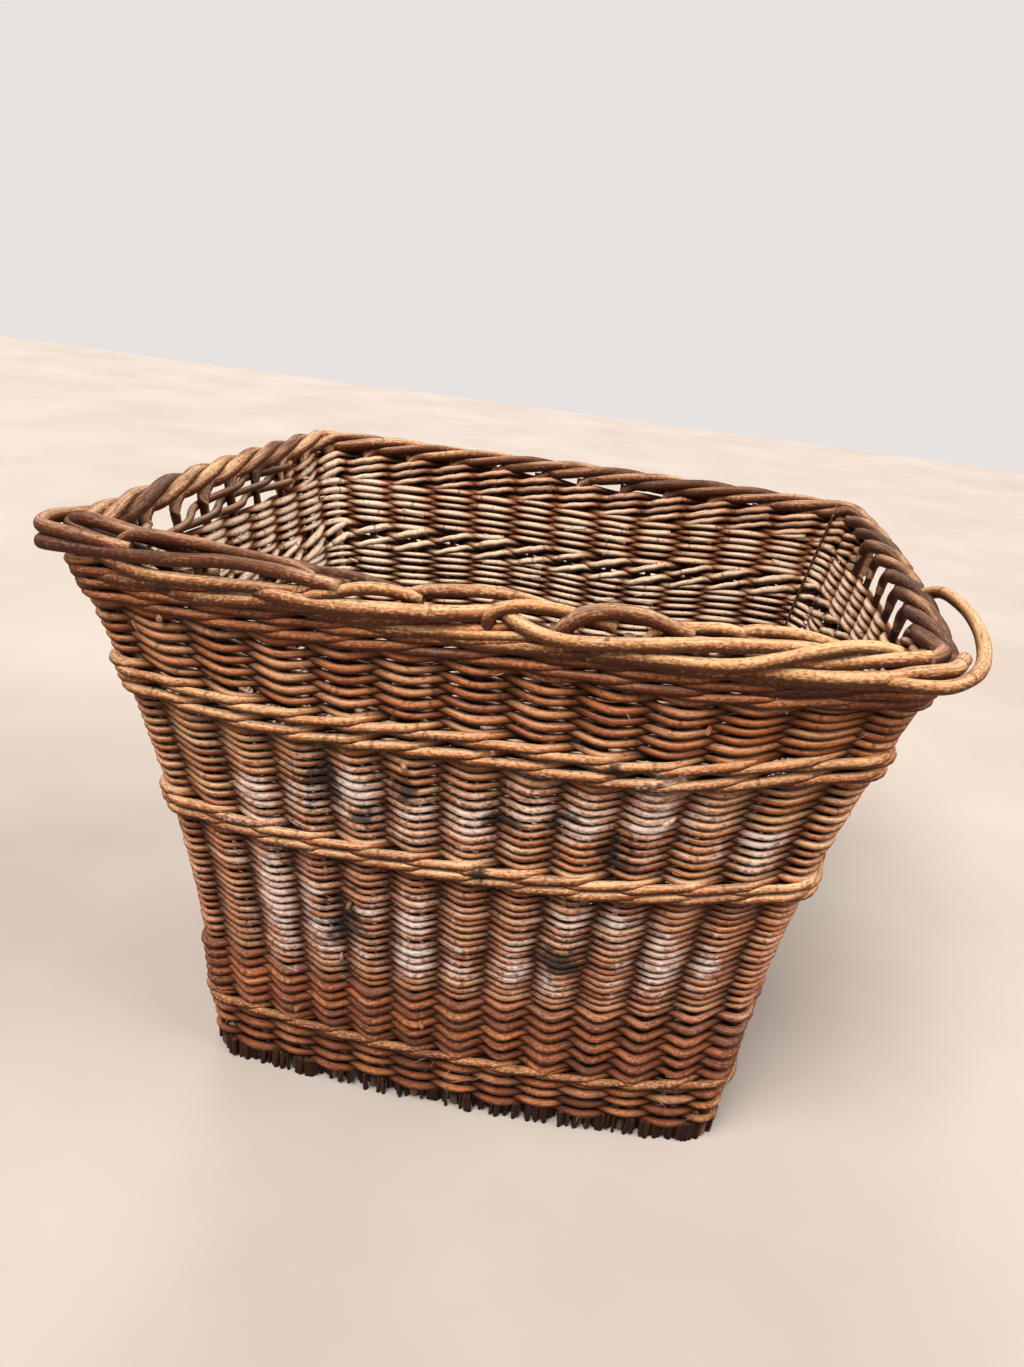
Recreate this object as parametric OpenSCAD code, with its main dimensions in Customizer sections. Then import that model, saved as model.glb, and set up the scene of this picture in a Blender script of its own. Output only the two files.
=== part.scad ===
// Woven wicker basket: a tapered, flared work basket of whole round cane.
// Stakes rise from a woven base, bands of weaving pass in front of and behind them,
// and the stakes are bent over at the top into a thick border.
// Origin: centre of the foot, on the ground. +Z up, front of the basket towards -Y.

/* [Overall size] */
// Height from the ground to the top of the border
basket_h = 620; // [600:5:640]
// Length over the woven walls at the foot
base_length = 572; // [520:2:600]
// Depth over the woven walls at the foot
base_depth = 462; // [400:2:480]
// Length over the border at the top
rim_length = 784; // [740:2:800]
// Depth over the border at the top
rim_depth = 668; // [640:2:700]
// Share of the flare that comes as a curve, so that the corners lean out most near the top
flare_curve = 0.85; // [0.5:0.05:0.9]
// How far the middle of the front and back walls bows out past a straight line
long_bow = 18; // [8:1:20]
// How far the middle of the left and right walls bows out past a straight line
short_bow = 12; // [6:1:14]
// Share of the corner curve that is missing in the middle of a wall, where the stakes stand straighter
mid_straightness = 0.9; // [0:0.1:1]

/* [Heights of the woven bands] */
// Foot made of the cut lower ends of the stakes
foot_h = 14; // [10:1:20]
// Lower wale, thick canes twined in groups
lower_wale_h = 70; // [50:1:80]
// Heavy weave above the lower wale
heavy_weave_h = 93; // [70:1:100]
// Fine weave of thin canes
fine_weave_h = 160; // [130:1:170]
// Middle wale, a rope-like round of light canes
middle_wale_h = 24; // [18:1:28]
// Medium weave between the two light wales
middle_weave_h = 118; // [90:1:124]
// Upper wale, a second rope-like round of light canes
upper_wale_h = 20; // [16:1:24]
// Loose weave of thicker canes under the border
upper_weave_h = 60; // [40:1:64]
// Thick rods that close the weave on the front and back walls
top_rods_h = 22; // [14:1:24]

/* [Canes] */
// Diameter of the upright stakes
stake_d = 9; // [6:0.5:10]
// Thickness of the weave on each side of the stakes
weave_t = 7; // [5:0.5:9]
// Diameter of the four corner posts
post_d = 20; // [14:1:22]
// Diameter of the canes in the border
border_d = 14; // [10:0.5:15]
// Diameter of the sticks inside the base
base_stick_d = 12; // [8:1:14]
// Diameter of the loose canes at the front corners
loop_d = 10; // [7:1:12]

/* [Counts] */
// Stakes between the corner posts on the front, and as many on the back
long_stakes = 11; // [7:1:13]
// Stakes between the corner posts on each short side
short_stakes = 8; // [6:2:10]
// Sticks in the base
base_sticks_n = 7; // [3:1:9]

/* [Hand holds] */
// Spaces between stakes left open in the middle of each short side
hand_hold_spaces = 5; // [3:2:5]

/* [Hidden] */

// Sides of round canes, of the rods that stand in the walls, and steps of the long border arcs
cane_sides = 32;
stake_sides = 8;
post_sides = 12;
arc_steps = 180;
$fn = cane_sides;

// Clearance between pieces that lie against each other, and between the weave and the stakes
clear = 0.2;
weave_clear = 0.6;

// Heights of the edges between the bands
foot_top = foot_h;
lower_wale_top = foot_top + lower_wale_h;
heavy_top = lower_wale_top + heavy_weave_h;
fine_top = heavy_top + fine_weave_h;
middle_wale_top = fine_top + middle_wale_h;
middle_top = middle_wale_top + middle_weave_h;
upper_wale_top = middle_top + upper_wale_h;
upper_top = upper_wale_top + upper_weave_h;
rods_top = upper_top + top_rods_h;

// The wall is a layer of weave, the stakes, and a second layer of weave
stake_depth = weave_t + weave_clear + stake_d/2;
inner_depth = weave_t + stake_d + 2*weave_clear;
wall_t = inner_depth + weave_t;

// Border canes: one on the stake ends, two above it, the outer one overhanging the wall
border_r = border_d/2;
border_top_z = basket_h - border_r;
border_low_z = border_top_z - border_d + clear;
border_inner_shift = -3;
border_outer_shift = border_inner_shift + border_d + clear;
stakes_top = border_low_z - border_r;
wall_overhang = border_outer_shift + border_r - stake_depth;

// How far the corners have flared at height z, from 0 at the ground to 1 at the border
function flare(z) = (1 - flare_curve)*z/basket_h + flare_curve*pow(z/basket_h, 2);
depth_gain = rim_depth/2 - wall_overhang - base_depth/2;
length_gain = rim_length/2 - wall_overhang - base_length/2;

// Half distance between the outer faces at the corners: front to back, and left to right
function half_depth(z) = base_depth/2 + depth_gain*flare(z);
function half_length(z) = base_length/2 + length_gain*flare(z);

// Each wall is three flat facets wide. The bow is 0 at the ends of the wall and nearly 1
// over its middle facet, where u runs from -1 to 1 along the wall
bow_knee = 0.45;
bow_middle = 0.85;
stations = [-1, -bow_knee, bow_knee, 1];
facets = [for (i = [0:len(stations) - 2]) [stations[i], stations[i + 1]]];
facet_gap = 0.2;
function bow_shape(u) = lookup(abs(u), [[0, bow_middle], [bow_knee, bow_middle], [1, 0]]);

// Outer face of a wall at height z and place u, and half the run along it at height z
function wall_face(z, u, is_long) =
  (is_long ? half_depth(z) : half_length(z))
  + bow_shape(u)*((is_long ? long_bow : short_bow)
    + mid_straightness*(is_long ? depth_gain : length_gain)*(z/basket_h - flare(z)));
function wall_run(z, is_long) = is_long ? half_length(z) : half_depth(z);

// Corner posts stand a little inside the corner of the weave
post_cover = 4;
post_in = post_d/2 + post_cover;
panel_end_in = post_in + post_d/2 + clear;

// Heights at which the walls change slope
levels = [foot_top, lower_wale_top, heavy_top, fine_top, middle_wale_top,
          middle_top, upper_wale_top, upper_top, stakes_top];

cane_brown = [0.58, 0.36, 0.20];
cane_dark = [0.38, 0.22, 0.13];
cane_red = [0.50, 0.29, 0.17];
cane_light = [0.82, 0.63, 0.42];
cane_grey = [0.66, 0.53, 0.42];

// Rod through the points of path, kept level at each point; for canes that stand up
module standing_rod(path, d, sides) {
  n = len(path);
  points = [for (p = path, k = [0:sides - 1])
    p + d/2*[cos(360*k/sides), sin(360*k/sides), 0]];
  walls = [for (i = [0:n - 2], k = [0:sides - 1])
    [i*sides + k, (i + 1)*sides + k, (i + 1)*sides + (k + 1)%sides, i*sides + (k + 1)%sides]];
  bottom = [for (k = [0:sides - 1]) k];
  top = [for (k = [sides - 1:-1:0]) (n - 1)*sides + k];
  polyhedron(points, concat([bottom], walls, [top]));
}

// One flat panel of weave from z0 to z1 on the front (long) or left (short) wall.
// It starts at depth behind the outer face and runs over the places from facet[0] to facet[1].
module panel(z0, z1, is_long, depth, facet) {
  points = [for (z = [z0, z1], d = [depth, depth + weave_t], end = [0, 1])
    [facet[end]*(wall_run(z, is_long) - panel_end_in) + facet_gap*(1 - 2*end),
     d - wall_face(z, facet[end], is_long), z]];
  polyhedron(points, [[0, 1, 3, 2], [4, 6, 7, 5], [0, 4, 5, 1], [2, 3, 7, 6], [0, 2, 6, 4], [1, 5, 7, 3]]);
}

// Panels in front of and behind the stakes, on one wall
module panel_pairs(z0, z1, is_long, parts = facets) {
  for (facet = parts, depth = [0, inner_depth])
    panel(z0, z1, is_long, depth, facet);
}

// A band of weaving right round the basket
module band(z0, z1) {
  for (turn = [0, 180]) {
    rotate(turn) panel_pairs(z0, z1, true);
    rotate(turn - 90) panel_pairs(z0, z1, false);
  }
}

// Stakes of one wall, evenly spread between the corner posts
module stakes(count, is_long) {
  for (i = [1:count]) {
    u = 2*i/(count + 1) - 1;
    standing_rod([for (z = levels)
      [u*(wall_run(z, is_long) - panel_end_in), stake_depth - wall_face(z, u, is_long), z]],
      stake_d, stake_sides);
  }
}

// Corner post; sx and sy are the signs of its corner
module corner_post(sx, sy) {
  standing_rod([for (z = levels)
    [sx*(half_length(z) - post_in), sy*(half_depth(z) - post_in), z]], post_d, post_sides);
}

module corner_post_front_left() { color(cane_dark) corner_post(-1, -1); }
module corner_post_front_right() { color(cane_dark) corner_post(1, -1); }
module corner_post_back_left() { color(cane_dark) corner_post(-1, 1); }
module corner_post_back_right() { color(cane_dark) corner_post(1, 1); }

module front_stakes() { color(cane_grey) stakes(long_stakes, true); }
module back_stakes() { color(cane_grey) rotate(180) stakes(long_stakes, true); }
module left_stakes() { color(cane_grey) rotate(-90) stakes(short_stakes, false); }
module right_stakes() { color(cane_grey) rotate(90) stakes(short_stakes, false); }

// Four beams under the walls, flat on the ground; each is a straight beam with a bowed outer face
foot_in = 2;
module foot_beam(is_long) {
  run = (is_long ? base_length : base_depth)/2 - (is_long ? foot_in : wall_t + clear);
  us = stations;
  outer = [for (u = us) [u*run, foot_in - wall_face(0, u, is_long)]];
  inner = (is_long ? base_depth : base_length)/2 - wall_t;
  linear_extrude(foot_h - clear) polygon(concat(outer, [[run, -inner], [-run, -inner]]));
}

module foot_border() {
  color(cane_dark)
  for (turn = [0, 180]) {
    rotate(turn) foot_beam(true);
    rotate(turn - 90) foot_beam(false);
  }
}

// The base lies inside the walls: sticks front to back between two layers of weave
base_clear = 1;
base_fit = wall_t + base_clear;
base_half_l = half_length(foot_top) - base_fit;
base_half_d = half_depth(foot_top) - base_fit;
base_skin_t = 6;
stick_end_in = 5;
stick_z = foot_top + base_skin_t + clear + base_stick_d/2;

module base_sticks() {
  color(cane_brown)
  for (i = [1:base_sticks_n])
    translate([base_half_l*(2*i/(base_sticks_n + 1) - 1), 0, stick_z])
      rotate([90, 0, 0]) cylinder(h = 2*(base_half_d - stick_end_in), d = base_stick_d, center = true);
}

// Outline of the base, bowed with the walls around it
function base_edge(is_long, side) = [for (i = [0:len(stations) - 2])
  let (u = stations[i], out = side*(wall_face(foot_top, u, is_long) - base_fit))
  is_long ? [-side*u*base_half_l, out] : [out, side*u*base_half_d]];
base_outline = concat(base_edge(true, -1), base_edge(false, 1), base_edge(true, 1), base_edge(false, -1));

module base_weave() {
  color(cane_grey)
  for (z = [foot_top, stick_z + base_stick_d/2 + clear])
    translate([0, 0, z]) linear_extrude(base_skin_t) polygon(base_outline);
}

module lower_wale() { color(cane_brown) band(foot_top, lower_wale_top); }
module heavy_weave() { color(cane_red) band(lower_wale_top, heavy_top); }
module fine_weave() { color(cane_brown) band(heavy_top, fine_top); }
module middle_wale() { color(cane_light) band(fine_top, middle_wale_top); }
module middle_weave() { color(cane_brown) band(middle_wale_top, middle_top); }
module upper_wale() { color(cane_light) band(middle_top, upper_wale_top); }
module upper_weave() { color(cane_red) band(upper_wale_top, upper_top); }

// The top rods leave the middle spaces of the short walls open as hand holds
module top_rods() {
  open_to = hand_hold_spaces/(short_stakes + 1);
  color(cane_brown)
  for (turn = [0, 180]) {
    rotate(turn) panel_pairs(upper_top, rods_top, true);
    rotate(turn - 90) panel_pairs(upper_top, rods_top, false, [[-1, -open_to], [open_to, 1]]);
  }
}

// Border canes as [shift out from the stakes, height]
border_canes = [[0, border_low_z], [border_inner_shift, border_top_z], [border_outer_shift, border_top_z]];

// Stake line at the height of the border, and the bend of the border round a corner
line_x = half_length(border_top_z) - stake_depth;
line_y = half_depth(border_top_z) - stake_depth;
bend = 16;
end_gap = 1.5;

// Canes along one side of the border, each a shallow arc that bows out with the wall
module border_side(is_long) {
  run = (is_long ? line_x : line_y) - bend;
  face = is_long ? line_y : line_x;
  bow = is_long ? long_bow : short_bow;
  radius = (run*run + bow*bow)/(2*bow);
  sweep = 2*asin((run - end_gap)/radius);
  for (cane = border_canes)
    translate([0, radius - bow - face, cane[1]])
      rotate(-90 - sweep/2) rotate_extrude(angle = sweep, $fn = arc_steps)
        translate([radius + cane[0], 0]) circle(d = border_d, $fn = cane_sides);
}

// The same canes bent round the corner; turn is the direction of the first end
module border_corner(sx, sy, turn) {
  for (cane = border_canes)
    translate([sx*(line_x - bend), sy*(line_y - bend), cane[1]])
      rotate(turn) rotate_extrude(angle = 90) translate([bend + cane[0], 0]) circle(d = border_d);
}

module front_border() { color(cane_light) border_side(true); }
module back_border() { color(cane_dark) rotate(180) border_side(true); }
module left_border() { color(cane_dark) rotate(-90) border_side(false); }
module right_border() { color(cane_brown) rotate(90) border_side(false); }

module border_corner_front_left() { color(cane_dark) border_corner(-1, -1, 180); }
module border_corner_front_right() { color(cane_light) border_corner(1, -1, 270); }
module border_corner_back_left() { color(cane_dark) border_corner(-1, 1, 90); }
module border_corner_back_right() { color(cane_brown) border_corner(1, 1, 0); }

// A loose cane stands out past the border round each front corner
loop_clear = 2;
loop_bend = bend + border_outer_shift + border_r + loop_clear + loop_d/2;
loop_angle = 104;

module corner_arc() {
  translate([line_x - bend, bend - line_y, border_top_z])
    rotate(-45 - loop_angle/2) rotate_extrude(angle = loop_angle)
      translate([loop_bend, 0]) circle(d = loop_d);
}

module corner_loop() { color(cane_light) corner_arc(); }
module corner_hairpin() { color(cane_dark) mirror([1, 0, 0]) corner_arc(); }

foot_border();
base_sticks();
base_weave();
corner_post_front_left();
corner_post_front_right();
corner_post_back_left();
corner_post_back_right();
front_stakes();
back_stakes();
left_stakes();
right_stakes();
lower_wale();
heavy_weave();
fine_weave();
middle_wale();
middle_weave();
upper_wale();
upper_weave();
top_rods();
front_border();
back_border();
left_border();
right_border();
border_corner_front_left();
border_corner_front_right();
border_corner_back_left();
border_corner_back_right();
corner_hairpin();
corner_loop();
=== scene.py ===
"""Woven wicker basket: canes in place of the plain CAD panels, with their materials, light and camera."""
import math

import bpy
import numpy as np
from mathutils import Matrix, Vector


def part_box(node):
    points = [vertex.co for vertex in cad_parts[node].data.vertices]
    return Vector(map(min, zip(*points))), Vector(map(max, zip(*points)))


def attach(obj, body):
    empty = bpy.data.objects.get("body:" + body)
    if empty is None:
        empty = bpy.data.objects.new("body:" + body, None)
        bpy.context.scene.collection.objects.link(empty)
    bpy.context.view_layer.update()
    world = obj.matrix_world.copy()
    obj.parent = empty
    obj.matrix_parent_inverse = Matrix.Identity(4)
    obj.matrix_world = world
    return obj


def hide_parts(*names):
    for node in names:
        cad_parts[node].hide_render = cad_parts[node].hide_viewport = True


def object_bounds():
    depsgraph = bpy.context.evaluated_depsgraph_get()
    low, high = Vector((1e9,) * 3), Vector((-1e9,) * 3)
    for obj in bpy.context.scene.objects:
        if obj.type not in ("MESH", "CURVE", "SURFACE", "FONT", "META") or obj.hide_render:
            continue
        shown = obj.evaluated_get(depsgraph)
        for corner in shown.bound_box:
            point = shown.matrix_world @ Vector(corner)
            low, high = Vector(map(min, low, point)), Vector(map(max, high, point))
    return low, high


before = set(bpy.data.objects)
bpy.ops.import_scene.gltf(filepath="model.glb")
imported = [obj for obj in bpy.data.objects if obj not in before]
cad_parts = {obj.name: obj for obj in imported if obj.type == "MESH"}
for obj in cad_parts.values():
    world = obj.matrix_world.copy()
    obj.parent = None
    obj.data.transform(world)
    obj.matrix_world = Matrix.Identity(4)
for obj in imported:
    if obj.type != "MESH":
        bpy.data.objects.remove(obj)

CAD_BOX = [list(corner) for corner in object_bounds()]
rng = np.random.default_rng(7)

# ---------------------------------------------------------------- sizes, in metres
# The plan of the walls repeats the driving dimensions of the CAD model.
HEIGHT = CAD_BOX[1][2]
BASE_LENGTH, BASE_DEPTH = 0.572, 0.462
WALL_LENGTH, WALL_DEPTH = 0.7718, 0.6558    # over the walls at the height of the border
FLARE_CURVE = 0.85
LONG_BOW, SHORT_BOW = 0.018, 0.012
MID_STRAIGHTNESS = 0.9
STAKE_IN = 0.0121                           # from the outer face of the weave to the stake line
CORNER_R = 0.022                            # bend of the stake line round a corner
STAKE_R = 0.0045
POST_R = 0.0085

LONG_SPACES, SHORT_SPACES = 12, 9           # spaces between stakes on each wall
SPACES = 2*(LONG_SPACES + SHORT_SPACES)
SIDE_NAMES = ("front", "right", "back", "left")
SIDE_COUNTS = (LONG_SPACES, SHORT_SPACES, LONG_SPACES, SHORT_SPACES)
CORNERS = (0, LONG_SPACES, LONG_SPACES + SHORT_SPACES, 2*LONG_SPACES + SHORT_SPACES)
CORNER_NAMES = ("front_left", "front_right", "back_right", "back_left")
HAND_HOLD_SPACES = 5

BAND_Z = {name: (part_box(name)[0].z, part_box(name)[1].z) for name in (
    "foot_border", "lower_wale", "heavy_weave", "fine_weave", "middle_wale", "middle_weave",
    "upper_wale", "upper_weave", "top_rods")}
BORDER_Z = 0.6015                           # middle of the rope-like border
STAKE_FOOT = BAND_Z["foot_border"][0] + 0.004
STAKE_TOP, POST_TOP = 0.594, 0.598


# ---------------------------------------------------------------- the shape of the walls
def flare(z):
    t = z/HEIGHT
    return (1 - FLARE_CURVE)*t + FLARE_CURVE*t*t


def smooth(x, low, high):
    x = np.clip((x - low)/(high - low), 0, 1)
    return x*x*(3 - 2*x)


def wall_point(t, z):
    """Point on the stake line at place t round the basket (0 to SPACES, a stake at each whole
    number, a corner post at each of CORNERS) and height z, with its outward normal."""
    t, z = np.broadcast_arrays(np.asarray(t, float) % SPACES, np.asarray(z, float))
    f = flare(z)
    length_gain, depth_gain = (WALL_LENGTH - BASE_LENGTH)/2, (WALL_DEPTH - BASE_DEPTH)/2
    half_l = BASE_LENGTH/2 + length_gain*f - STAKE_IN
    half_d = BASE_DEPTH/2 + depth_gain*f - STAKE_IN
    x, y = np.zeros(t.shape), np.zeros(t.shape)
    nx, ny = np.zeros(t.shape), np.zeros(t.shape)
    for k, start in enumerate(CORNERS):
        long_side = k % 2 == 0
        on = (t >= start) & (t < start + SIDE_COUNTS[k])
        u = -1 + 2*(t - start)/SIDE_COUNTS[k]
        run, face = (half_l, half_d) if long_side else (half_d, half_l)
        gain, bow = (depth_gain, LONG_BOW) if long_side else (length_gain, SHORT_BOW)
        bulge = (1 - u*u)*(bow + MID_STRAIGHTNESS*gain*(z/HEIGHT - f))
        to_corner = (1 - np.abs(u))*run
        bend = np.clip(1 - to_corner/CORNER_R, 0, 1)*math.pi/4
        along = np.where(bend > 0, run - CORNER_R + CORNER_R*np.sin(bend), np.abs(u)*run)*np.sign(u)
        out = np.where(bend > 0, face - CORNER_R + CORNER_R*np.cos(bend), face) + bulge
        n_along, n_out = np.sin(bend)*np.sign(u), np.cos(bend)
        turn = k*math.pi/2                    # the front runs towards +X and faces -Y
        c, s = round(math.cos(turn)), round(math.sin(turn))
        x = np.where(on, c*along + s*out, x)
        y = np.where(on, s*along - c*out, y)
        nx = np.where(on, c*n_along + s*n_out, nx)
        ny = np.where(on, s*n_along - c*n_out, ny)
    return x, y, nx, ny


def lean(z):
    """How steeply the walls lean out at height z."""
    rise = (WALL_DEPTH - BASE_DEPTH)/2/HEIGHT
    return rise*(0.55*(1 - FLARE_CURVE + 2*FLARE_CURVE*z/HEIGHT) + 0.45)


def on_wall(t, z, out):
    """Points at distance out from the stake line, square to the leaning wall."""
    x, y, nx, ny = wall_point(t, z)
    slope = lean(z)
    flat = 1/np.sqrt(1 + slope*slope)
    return np.stack([x + nx*out*flat, y + ny*out*flat, z - out*slope*flat], -1)


# The rounds aren't level: how far each one rises at the four corners, and hangs between them
ROUND_Z = (0.020, 0.084, 0.177, 0.349, 0.489, 0.560, 0.600)   # mean heights at which that is known
CORNER_RISE = {"front_left": (0, 0.009, -0.012, -0.013, -0.017, -0.006, 0),
               "front_right": (0, 0.010, 0.019, 0.003, 0.007, 0.003, 0),
               "back_right": (0, 0.006, 0.008, 0.002, 0.002, 0, 0),
               "back_left": (0, 0.006, -0.004, -0.006, -0.008, -0.003, 0)}
MIDDLE_DROP = (0, 0.010, 0.014, 0.015, 0.023, 0.008, 0)       # on the front wall
OTHER_DROP = 0.35                                             # share of that on the other walls


def rise_of_round(t, z):
    """How far a round of weaving is above its mean height z at place t."""
    t = np.asarray(t, float) % SPACES
    rise = np.zeros(t.shape)
    for k, start in enumerate(CORNERS):
        on = (t >= start) & (t < start + SIDE_COUNTS[k])
        u = -1 + 2*(t - start)/SIDE_COUNTS[k]
        first, last = (np.interp(z, ROUND_Z, CORNER_RISE[CORNER_NAMES[i % 4]]) for i in (k, k + 1))
        drop = np.interp(z, ROUND_Z, MIDDLE_DROP)*(1.0 if k == 0 else OTHER_DROP)
        rise = np.where(on, (first*(1 - u) + last*(1 + u))/2 - drop*(1 - u*u), rise)
    return rise


# Waves round the basket: how many, where they start, and how they change with the height
WAVES = [(rng.integers(2, 9), rng.uniform(0, 6.28), rng.uniform(8, 30), rng.uniform(0, 6.28))
         for _ in range(7)]
WAVE_HEIGHT = 0.0011


def waver(t, z):
    """Slow unevenness of the rounds, shared by neighbours so that they don't cross."""
    total = 0
    for count, phase, rise, shift in WAVES:
        total = total + np.sin(2*math.pi*count*t/SPACES + phase + np.sin(rise*z + shift))
    return WAVE_HEIGHT*total*smooth(z, 0.02, 0.10)


def spaces_from(t, place):
    """How many spaces t is from a place round the basket, the shorter way."""
    return np.abs((np.asarray(t, float) - place + SPACES/2) % SPACES - SPACES/2)


def on_front(t):
    """1 on the front wall, 0 from a space past its corners."""
    return 1 - smooth(spaces_from(t, LONG_SPACES/2), LONG_SPACES/2, LONG_SPACES/2 + 1)


def near_corner(t):
    """1 at a corner post, 0 from three quarters of a space away."""
    return 1 - smooth(np.min([spaces_from(t, corner) for corner in CORNERS], axis=0), 0.05, 0.75)


# ---------------------------------------------------------------- stains on the front wall
# Ovals as (x, z, half width, half height): patches of old limewash, and dark smudges. The material
# breaks their edges up, so that none of them keeps a clear outline.
LIME_PATCHES = [
    (-0.200, 0.365, 0.050, 0.030), (-0.110, 0.390, 0.060, 0.034), (-0.020, 0.385, 0.060, 0.030),
    (0.070, 0.410, 0.055, 0.028), (0.180, 0.420, 0.055, 0.036), (0.250, 0.400, 0.030, 0.030),
    (-0.190, 0.248, 0.044, 0.072), (-0.120, 0.215, 0.050, 0.040), (-0.030, 0.205, 0.075, 0.026),
    (-0.050, 0.260, 0.050, 0.034), (0.067, 0.220, 0.034, 0.040), (0.120, 0.285, 0.050, 0.028),
    (0.192, 0.246, 0.056, 0.056)]
SOOT_PATCHES = [
    (-0.142, 0.398, 0.034, 0.044), (-0.098, 0.372, 0.020, 0.018), (-0.058, 0.410, 0.016, 0.014),
    (0.030, 0.395, 0.020, 0.014), (0.088, 0.404, 0.020, 0.012), (0.134, 0.378, 0.034, 0.024),
    (-0.124, 0.234, 0.030, 0.044), (0.098, 0.240, 0.036, 0.030), (0.127, 0.468, 0.012, 0.010),
    (0.010, 0.330, 0.014, 0.012)]
FRONT_Y = -0.15                             # points with a lower y are on the front wall


def stain(points, patches):
    """How strongly soft-edged patches on the front wall cover each point, 0 to 1."""
    cover = np.zeros(len(points))
    for x, z, half_w, half_h in patches:
        distance = np.hypot((points[:, 0] - x)/half_w, (points[:, 2] - z)/half_h)
        cover = np.maximum(cover, 1 - smooth(distance, 0.0, 1.9))
    return cover*(points[:, 1] < FRONT_Y)


# ---------------------------------------------------------------- canes
# Values of out for canes laid outside or inside the weave, so that they aren't shaded as hollows
LAID_OUTSIDE, LAID_INSIDE = 0.012, -0.010


class Canes:
    """Collects round canes and makes them one mesh, with these values at each point:
    tint, the tone of the cane; grain, the place along and around the cane; out, how far the
    surface is out from the stake line; tip, 1 on a cut end; lime and soot, the stains."""

    def __init__(self, darkest=0.0, palest=1.0):
        self.tones = (darkest, palest)
        self.points, self.quads, self.fans = [], [], []
        self.tint, self.grain, self.out, self.tip = [], [], [], []
        self.count = 0

    def add(self, path, radius, sides=8, out=0.0, up=(0, 0, 1), tint=None, swell=0.08):
        """A cane along a path. swell is how much its thickness varies."""
        path = np.asarray(path, float)
        n = len(path)
        tangent = np.gradient(path, axis=0)
        tangent /= np.linalg.norm(tangent, axis=1)[:, None]
        side = np.cross(tangent, np.asarray(up, float))
        side /= np.linalg.norm(side, axis=1)[:, None]
        rise = np.cross(side, tangent)
        steps = np.linalg.norm(np.diff(path, axis=0), axis=1)
        length = np.concatenate([[0], np.cumsum(steps)])
        start = rng.uniform(0, 5)
        wave = np.sin(length*rng.uniform(25, 60) + start)
        wave = wave + 0.6*np.sin(length*rng.uniform(90, 160) + 2*start)
        r = np.broadcast_to(np.asarray(radius, float), (n,))*(1 + swell*wave)
        angle = 2*math.pi*np.arange(sides)/sides
        sideways, upwards = np.outer(r, np.cos(angle)), np.outer(r, np.sin(angle))
        ring = path[:, None, :] + r[:, None, None]*(np.cos(angle)[None, :, None]*side[:, None, :]
                                                    + np.sin(angle)[None, :, None]*rise[:, None, :])
        index = self.count + np.arange(n*sides).reshape(n, sides)
        nxt = np.roll(index, -1, axis=1)
        quads = np.stack([index[1:], nxt[1:], nxt[:-1], index[:-1]], -1)
        self.quads.append(quads.reshape(-1, 4))
        self.fans.append(index[0])
        self.fans.append(index[-1][::-1])
        self.points.append(ring.reshape(-1, 3))
        self.count += n*sides
        outward = np.broadcast_to(np.asarray(out, float), (n,))[:, None] + sideways
        self.tint.append(np.full(n*sides, rng.uniform(*self.tones) if tint is None else tint))
        lengthwise = np.repeat(length + start, sides)
        self.grain.append(np.stack([lengthwise, sideways.ravel(), upwards.ravel()], -1))
        self.out.append(outward.ravel())
        tip = np.zeros(n)
        tip[0] = tip[-1] = 1
        self.tip.append(np.repeat(tip, sides))

    def build(self, name, material, slot, *nodes):
        """The canes as one piece, which stands for the CAD nodes named."""
        mesh = bpy.data.meshes.new(name)
        points = np.concatenate(self.points)
        points[:, 2] = np.maximum(points[:, 2], 0)
        quads = np.concatenate(self.quads)
        loops = np.concatenate([quads.ravel()] + self.fans).astype(np.int32)
        sizes = np.concatenate([np.full(len(quads), 4), [len(f) for f in self.fans]]).astype(np.int32)
        starts = np.concatenate([[0], np.cumsum(sizes)[:-1]]).astype(np.int32)
        mesh.vertices.add(len(points))
        mesh.vertices.foreach_set("co", points.astype(np.float32).ravel())
        mesh.loops.add(len(loops))
        mesh.loops.foreach_set("vertex_index", loops)
        mesh.polygons.add(len(sizes))
        mesh.polygons.foreach_set("loop_start", starts)
        mesh.polygons.foreach_set("loop_total", sizes)
        smooth_faces = np.ones(len(sizes), bool)
        smooth_faces[len(quads):] = False
        mesh.polygons.foreach_set("use_smooth", smooth_faces)
        mesh.update(calc_edges=True)
        mesh.validate()
        values = {"tint": np.concatenate(self.tint), "out": np.concatenate(self.out),
                  "tip": np.concatenate(self.tip), "lime": stain(points, LIME_PATCHES),
                  "soot": stain(points, SOOT_PATCHES)}
        for key, value in values.items():
            layer = mesh.attributes.new(key, "FLOAT", "POINT")
            layer.data.foreach_set("value", value.astype(np.float32))
        layer = mesh.attributes.new("grain", "FLOAT_VECTOR", "POINT")
        layer.data.foreach_set("vector", np.concatenate(self.grain).astype(np.float32).ravel())
        mesh.materials.append(material)
        piece = bpy.data.objects.new(name, mesh)
        bpy.context.scene.collection.objects.link(piece)
        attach(piece, "root")
        if nodes:
            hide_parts(*nodes)


def curve_through(points, per_span=8):
    """Smooth path through a few points."""
    p = np.asarray(points, float)
    p = np.vstack([2*p[0] - p[1], p, 2*p[-1] - p[-2]])
    s = np.linspace(0, 1, per_span, endpoint=False)[:, None]
    path = []
    for a, b, c, d in zip(p[:-3], p[1:-2], p[2:-1], p[3:]):
        path.append(0.5*(2*b + (c - a)*s + (2*a - 5*b + 4*c - d)*s**2 + (3*b - a - 3*c + d)*s**3))
    return np.vstack(path + [p[-2:-1]])


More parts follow.
